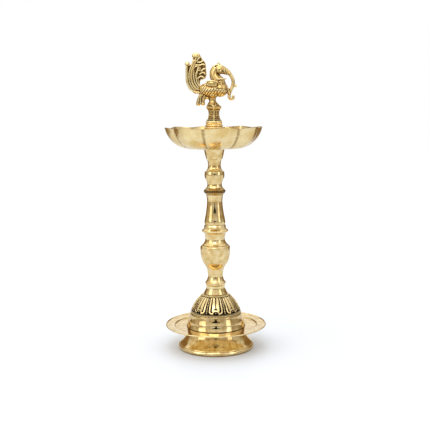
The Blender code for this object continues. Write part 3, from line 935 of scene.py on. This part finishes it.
def wings():
    """A leaf-shaped wing on each side, with a raised edge and four veins."""
    shapes = []
    for side in (-1, 1):
        edge = [(-10.6, 415.0), (-3.5, 414.2), (4.6, 413.8), (2.6, 408.8), (-3.6, 405.4), (-9.4, 408.6)]
        depth = 10.9
        shapes.append(ball((-3, side * 9.6, 409.8), (8.6, 3.4, 5.2), -10))
        shapes.append(bar([(x, side * depth, z, 1.05) for x, z in edge], closed=True))
        shapes.append(tube([(-6, 412.6, 1.4), (-9.8, 415.0, 1.2)], y=side * 10.4))
        for vein in range(4):
            x = -7.4 + 2.9 * vein
            shapes.append(tube([(x, 412.8, 0.6), (x + 1.4, 409.8, 0.7), (x + 0.6, 407.2 + 0.3 * vein, 0.6)],
                               y=side * (12.2 - 0.1 * vein)))
    return shapes


def garland():
    """The vine that hangs from the beak to the chest, with its leaf and its curled end."""
    vine = [
        (24.4, 425.6, 2.9), (27.6, 420.4, 2.7), (30.0, 414.4, 2.7), (29.6, 408.6, 2.7), (27.2, 403, 2.6),
        (24.2, 396.4, 2.5), (22.8, 390.4, 2.5), (25.6, 386.9, 2.3), (31, 388, 2.1), (29.6, 392, 1.8),
    ]
    rib = [
        (25.2, 425), (28.6, 419), (30.8, 413), (29, 406), (25, 399.6), (22.8, 392), (25, 388.4), (29, 388.4),
    ]
    shapes = [
        tube(vine),
        tube([(16, 402, 6.2), (20, 400.4, 5.3), (24, 397.6, 3.2)]),
        tube([(29.6, 408.6, 2.8), (32.8, 407, 2.2), (36.2, 405.8, 1.1)]),
        ball((29.6, 0, 391.6), (2.1, 2.4, 2.1)),
    ]
    for side in (-1, 1):
        shapes.append(tube([(x, z, 0.7) for x, z in rib], y=side * 2.1))
        for step in range(4):
            place = (20.4 + 1.1 * step, side * (4.6 - 0.7 * step), 404 - 2.6 * step)
            shapes.append(ball(place, (1.6, 1.2, 1.2), -35))
    return shapes


def blend(first, second, share):
    return [tuple(a + (b - a) * share for a, b in zip(one, other)) for one, other in zip(first, second)]


def beaded(border, y):
    """Beads along the tail's outer edge, set a little outside it."""
    border = np.array(border)
    reach = distances(border)
    shapes = []
    for along in np.arange(1.0, reach[-1], 2.3):
        x, z = (np.interp(along, reach, border[:, axis]) for axis in (0, 1))
        outward = np.array([x + 22, z - 424])
        outward /= np.linalg.norm(outward)
        shapes.append(ball((x + 1.1 * outward[0], y, z + 1.1 * outward[1]), (0.95, 1.3, 0.95)))
    return shapes


def plumes(outer, inner, y):
    """Five plumes side by side between the tail's edges, the middle ones with ends of their own."""
    shapes = []
    for share, size in ((0.0, 1.7), (0.24, 1.3), (0.48, 1.8), (0.74, 1.3), (1.0, 1.7)):
        line = blend(outer, inner, share)
        if share in (0.24, 0.48):
            line = line[:-1] + [(-33 + 14 * (share - 0.24), 437.5), (-28.6 + 8 * (share - 0.24), 445.6)]
        if share == 0.74:
            line = line[:-1] + [(-30.6, 434), (-25.6, 437.6), (-20.2, 434.6), (-20.8, 429.6), (-24.4, 430.6)]
        shapes.append(tube([(x, z, size) for x, z in line], y))
    return shapes


def tail():
    """A fan plate carrying plumes side by side, curls at their ends, scrolled leaves and a beaded border."""
    fan = [
        (-12, 398), (-24, 394.6), (-33.6, 399), (-40.6, 407.4), (-42, 420), (-41.8, 434), (-40.6, 440),
        (-33.6, 438.6), (-30.6, 448), (-26, 454.6), (-19, 452.6), (-16, 446), (-11.4, 442.6), (-11.2, 432),
        (-10.2, 424), (-12.6, 417.4), (-20.6, 416.4), (-20.8, 408), (-15, 406),
    ]
    outer = [(-15, 398), (-27, 396.6), (-36.6, 404), (-40.4, 414), (-40.6, 427), (-40.4, 437.6)]
    inner = [(-14, 403), (-19.6, 405.6), (-24, 411), (-26.2, 418), (-26.4, 426), (-23.4, 431.6)]
    scrolls = [
        [(-22.6, 408, 1.5), (-24.4, 416, 1.5), (-21.4, 421.6, 1.5), (-15.6, 421.2, 1.6), (-14, 418.4, 1.5)],
        [(-21, 424.4, 1.3), (-17.4, 427.6, 1.5), (-13.4, 427, 1.4), (-12.8, 424.6, 1.1)],
        [(-19, 429, 1.1), (-15, 433.6, 1.5), (-12.8, 432.6, 1.2)],
        [(-27.4, 439.4, 1.2), (-21, 437.4, 1.5), (-15.4, 440.4, 1.6), (-13.4, 438, 1.2)],
        [(-24.6, 443, 1.1), (-19.6, 441.6, 1.4), (-16.2, 444.8, 1.3)],
        [(-29.4, 441.4, 1.3), (-27.4, 447, 1.4), (-25.2, 450.4, 1.4)],
        [(-25.4, 443.6, 1.1), (-23.4, 447.6, 1.3), (-20.4, 450.6, 1.3)],
        [(-31.4, 447.6, 0.9), (-30.4, 451.2, 1.1), (-25.4, 451.6, 1.1), (-21.6, 454, 0.9)],
        [(-37, 437.6, 1.1), (-37.2, 441, 1.1), (-40.2, 441.4, 1.1), (-40, 438.6, 0.9)],
    ]
    shapes = [
        slab(fan, 4.6),
        ball((-26, 0, 452.4), (6.4, 4.4, 4.4)),
        ball((-39.6, 0, 440.4), (3.7, 3.6, 3.7)),
    ]
    for side in (-1, 1):
        plane = side * 2.3
        shapes += plumes(outer, inner, plane)
        shapes += [tube(scroll, plane) for scroll in scrolls]
        shapes.append(ball((-23.2, side * 2.6, 433.4), (1.7, 1.5, 1.7)))
        shapes += beaded(outer[1:], side * 1.4)
    return shapes


def feathers(points):
    """How far the slanting feathers stand out of the belly, in mm, at points in mm."""
    x, y, z = points.T
    lean, pitch, length, relief = math.radians(52), 3.3, 6.2, 0.8
    along = x * math.cos(lean) + (z - 402) * math.sin(lean)
    across = (z - 402) * math.cos(lean) - x * math.sin(lean)
    row = np.floor(across / pitch)
    from_rib = np.abs(across / pitch - row - 0.5) * 2
    from_tip = ((along + length / 2 * (row % 2)) % length) / length
    lobe = np.clip(1 - from_rib**2, 0, 1) * (0.35 + 0.65 * from_tip)
    belly = (x > -20) & (x < 17) & (z > 392.6) & (z < 411) & (np.abs(y) > 3)
    wing = (x > -12.5) & (x < 6.5) & (z > 403.6) & (np.abs(y) > 9)
    chest = (x > 4) & (z > 402)
    return relief * lobe * (belly & ~wing & ~chest)


def neighbour_mean(points, edges, rounds):
    """Each point drawn to the mean of its neighbours, several times over."""
    count = np.bincount(edges.ravel(), minlength=len(points))[:, None]
    for _ in range(rounds):
        total = np.zeros_like(points)
        for axis in range(3):
            total[:, axis] = np.bincount(edges[:, 0], points[edges[:, 1], axis], len(points))
            total[:, axis] += np.bincount(edges[:, 1], points[edges[:, 0], axis], len(points))
        points = (points + total / count) / 2
    return points


def fused(name, meshes):
    """The meshes joined into one skin, with no faces left inside."""
    work = bmesh.new()
    for mesh in meshes:
        work.from_mesh(mesh)
    joined = bpy.data.meshes.new(name)
    work.to_mesh(joined)
    work.free()
    item = bpy.data.objects.new(name, joined)
    bpy.context.scene.collection.objects.link(item)
    fuse = item.modifiers.new("fuse", "REMESH")
    fuse.mode = "VOXEL"
    fuse.voxel_size = 0.4 * MM
    return taken(item)


def read(collection, field, columns, kind):
    """A field of a mesh's points or edges, as an array with so many columns."""
    values = np.empty(len(collection) * columns, dtype=kind)
    collection.foreach_get(field, values)
    return values.reshape(-1, columns)


def peacock(cast):
    """The casting: fused forms, feathered, with the hollows marked for a darker tone: patination deepened
    with painted shade.
    """
    mesh = fused("casting", (*pedestal(), *bird_body(), *wings(), *garland(), *tail()))
    points = read(mesh.vertices, "co", 3, float) / MM
    normals = read(mesh.vertices, "normal", 3, float)
    edges = read(mesh.edges, "vertices", 2, np.int64)
    points = neighbour_mean(points, edges, 1) + normals * feathers(points)[:, None]
    low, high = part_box("peacock")
    margin = 0.02
    points = np.clip(points, np.array(low) / MM + margin, np.array(high) / MM - margin)
    hollow = sum(
        np.einsum("ij,ij->i", neighbour_mean(points, edges, rounds) - points, normals) for rounds in (6, 24)
    )
    deepest = 0.7
    item = new_mesh("peacock_cast", points, [tuple(face.vertices) for face in mesh.polygons], 180)
    set_attribute(item, "cavity", np.clip(hollow / deepest, -1, 1))
    return stand_for(item, "peacock", cast)


# ---------------- studio

TENT_TONES = (
    (0.0, 0.55), (0.07, 0.76), (0.15, 0.5), (0.28, 0.74), (0.38, 0.42), (0.5, 0.58), (0.62, 0.4), (0.84, 0.3),
    (0.94, 0.85), (1.0, 1.0),
)  # from straight in front of the lamp, 0, to straight behind it, 1
OVERHEAD_TONE = 1.2
FLAG_TONE = (0.3, 0.19, 0.08)
PAPER_TONES = ((0.68, 0.71, 0.755), (0.7, 0.73, 0.775))
FLOOR_RADIUS = 3.0
SURROUND_RADIUS = 10.0
LENS_GAP_DISTANCE = 4.0
FLAG_HEIGHT = 0.5

def aimed(direction):
    """The rotation of a camera or a light that looks along a direction."""
    return Vector(direction).to_track_quat("-Z", "Y")


def camera():
    data = bpy.data.cameras.new("camera")
    data.lens = CAMERA_LENS
    data.sensor_width = 36.0
    item = bpy.data.objects.new("camera", data)
    item.location = (CAMERA_ASIDE, -CAMERA_DISTANCE, CAMERA_HEIGHT)
    item.rotation_mode = "XYZ"
    aim = aimed((0, math.cos(CAMERA_TILT), -math.sin(CAMERA_TILT))).to_matrix().to_4x4()
    roll = aim.Rotation(CAMERA_ROLL, 4, "Z")
    item.rotation_euler = (aim @ roll).to_euler()
    bpy.context.scene.collection.objects.link(item)
    bpy.context.scene.camera = item


def area_light(name, place, target, size, power):
    data = bpy.data.lights.new(name, "AREA")
    data.shape = "RECTANGLE"
    data.size, data.size_y = size
    data.energy = power
    item = bpy.data.objects.new(name, data)
    item.location = place
    item.rotation_euler = aimed(Vector(target) - Vector(place)).to_euler()
    bpy.context.scene.collection.objects.link(item)


def plain_emission(name, colour):
    """A material that glows evenly, and does nothing else."""
    made = bpy.data.materials.new(name)
    made.use_nodes = True
    nodes = Nodes(made.node_tree)
    nodes.tree.nodes.clear()
    glow = nodes.node("ShaderNodeEmission", {"Color": (*colour, 1.0), "Strength": 1.0})
    nodes.node("ShaderNodeOutputMaterial", {"Surface": glow.outputs[0]})
    return made


def white_floor():
    """Pale paper. To the camera it glows a little, and more further out, so that it runs into the white."""
    bpy.ops.mesh.primitive_circle_add(vertices=96, radius=FLOOR_RADIUS, fill_type="NGON")
    floor = bpy.context.object
    floor.name = "floor"
    paper = Shader("white_paper")
    first, second = PAPER_TONES
    tone = paper.ramp(paper.noise(paper.coordinates(), 0.02, 2.0), (0.0, first), (1.0, second))
    place = paper.node("ShaderNodeTexCoord").outputs["Object"]
    away = paper.node("ShaderNodeVectorMath", {0: place}, operation="LENGTH").outputs["Value"]
    seen = paper.node("ShaderNodeLightPath").outputs["Is Camera Ray"]
    glow = paper.math("MULTIPLY", seen, paper.fit(away, 0.2, 0.8, 0.08, 0.32))
    paper.put(paper.principled.inputs["Emission Color"], (1.0, 1.0, 1.0, 1.0))
    paper.put(paper.principled.inputs["Emission Strength"], glow)
    floor.data.materials.append(paper.finish(tone, 0.6, metallic=0.0))
    return floor


def hide_from(item, *rays):
    """Rays of these kinds pass the item by."""
    for ray in (*rays, "diffuse", "transmission", "shadow", "volume_scatter"):
        setattr(item, f"visible_{ray}", False)
    return item


def white_surround():
    """What the camera sees behind the lamp; no other ray meets it."""
    bpy.ops.mesh.primitive_uv_sphere_add(segments=48, ring_count=24, radius=SURROUND_RADIUS)
    surround = bpy.context.object
    surround.name = "surround"
    surround.data.materials.append(plain_emission("white_surround", (1.0, 1.0, 1.0)))
    return hide_from(surround, "glossy")


def mirrored_card(name, corners, tone):
    """A card that only the brass's reflections meet."""
    mesh = bpy.data.meshes.new(name)
    mesh.from_pydata(corners, [], [tuple(range(len(corners)))])
    mesh.materials.append(plain_emission(f"{name}_tone", tone))
    card = bpy.data.objects.new(name, mesh)
    bpy.context.scene.collection.objects.link(card)
    return hide_from(card, "camera")


def lens_gap():
    """The dark gap in the tent round the camera, wider at its top, mirrored as a black bar in the drum."""
    edge = [(0.12, 0.02), (0.55, 0.6), (1.3, 0.74), (1.3, 0.98)]
    right = [(half, -LENS_GAP_DISTANCE, height) for half, height in edge]
    left = [(-half, -LENS_GAP_DISTANCE, height) for half, height in reversed(edge)]
    return mirrored_card("lens_gap", right + left, (0.0, 0.0, 0.0))


def flags():
    """Two brown flags behind the lamp, a metre off, which draw a darker line down each edge of the brass."""
    cards = []
    near, far = math.radians(118), math.radians(160)
    for side, name in ((-1, "flag_left"), (1, "flag_right")):
        corners = [
            (side * math.sin(turn), -math.cos(turn), height)
            for turn, height in ((near, 0.0), (far, 0.0), (far, FLAG_HEIGHT), (near, FLAG_HEIGHT))
        ]
        cards.append(mirrored_card(name, corners, FLAG_TONE))
    return cards


def warmed(tone):
    """A grey that turns to brown as it gets darker."""
    warmth = max(0.0, 0.7 - tone)
    return tone, tone * (1 - 0.5 * warmth), tone * (1 - 1.2 * warmth)


def tent():
    """The world as a light tent: bright overhead and behind, striped in front, darker behind to each side,
    and a little brighter on the lamp's left."""
    world = bpy.data.worlds.new("tent")
    bpy.context.scene.world = world
    world.use_nodes = True
    sky = Nodes(world.node_tree)
    place = sky.node("ShaderNodeTexCoord").outputs["Generated"]
    x, y, z = sky.node("ShaderNodeSeparateXYZ", {"Vector": place}).outputs
    aside = sky.node("ShaderNodeMath", {0: x}, operation="ABSOLUTE").outputs[0]
    turn = sky.math("ARCTAN2", aside, sky.math("MULTIPLY", y, -1.0))
    stops = [(position, warmed(tone)) for position, tone in TENT_TONES]
    walls = sky.ramp(sky.math("DIVIDE", turn, math.pi), *stops)
    colour = sky.mix(sky.fit(z, 0.15, 0.75, 0.0, 1.0), walls, (OVERHEAD_TONE,) * 3)
    background = sky.tree.nodes["Background"]
    sky.put(background.inputs["Color"], colour)
    sky.put(background.inputs["Strength"], sky.fit(x, -1.0, 1.0, 1.12, 0.88))


def studio():
    """A plain white room: paper floor, white surround, a light tent and four soft lamps."""
    bpy.context.scene.view_settings.view_transform = "Standard"
    white_floor()
    white_surround()
    lens_gap()
    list(flags())
    tent()
    area_light("key", (-1.9, -1.2, 1.2), (0, 0, 0.25), (1.3, 1.9), 9)
    area_light("fill", (1.8, -1.3, 1.0), (0, 0, 0.25), (0.8, 1.7), 4.5)
    area_light("top", (-0.1, 0.2, 2.0), (0, 0, 0), (1.4, 1.0), 8)
    area_light("front", (-0.15, -0.9, 1.0), (0, -0.12, 0), (0.7, 0.5), 2.2)


# ---------------- the lamp

def build():
    polished, engraved, creased, cast, plain, hide = (
        polished_brass(), engraved_brass(), creased_brass(), cast_brass(), plain_brass(), leather()
    )
    for piece in (foot, tray, drum, lower_stem, neck_collar, shaft, knop, cup, finial_base):
        piece(polished)
    dome(engraved)
    bowl(creased)
    bead_ring(cast)
    peacock(cast)
    for node in (
        "tie_stud", "lower_stud", "middle_stud", "shaft_rod", "upper_stud", "finial_stud", "peacock_stud"
    ):
        threaded(node, plain)
    nut(plain)
    washer("base_washer", plain)
    washer("lower_seal", hide)
    washer("upper_seal", hide)
    camera()
    studio()


build()
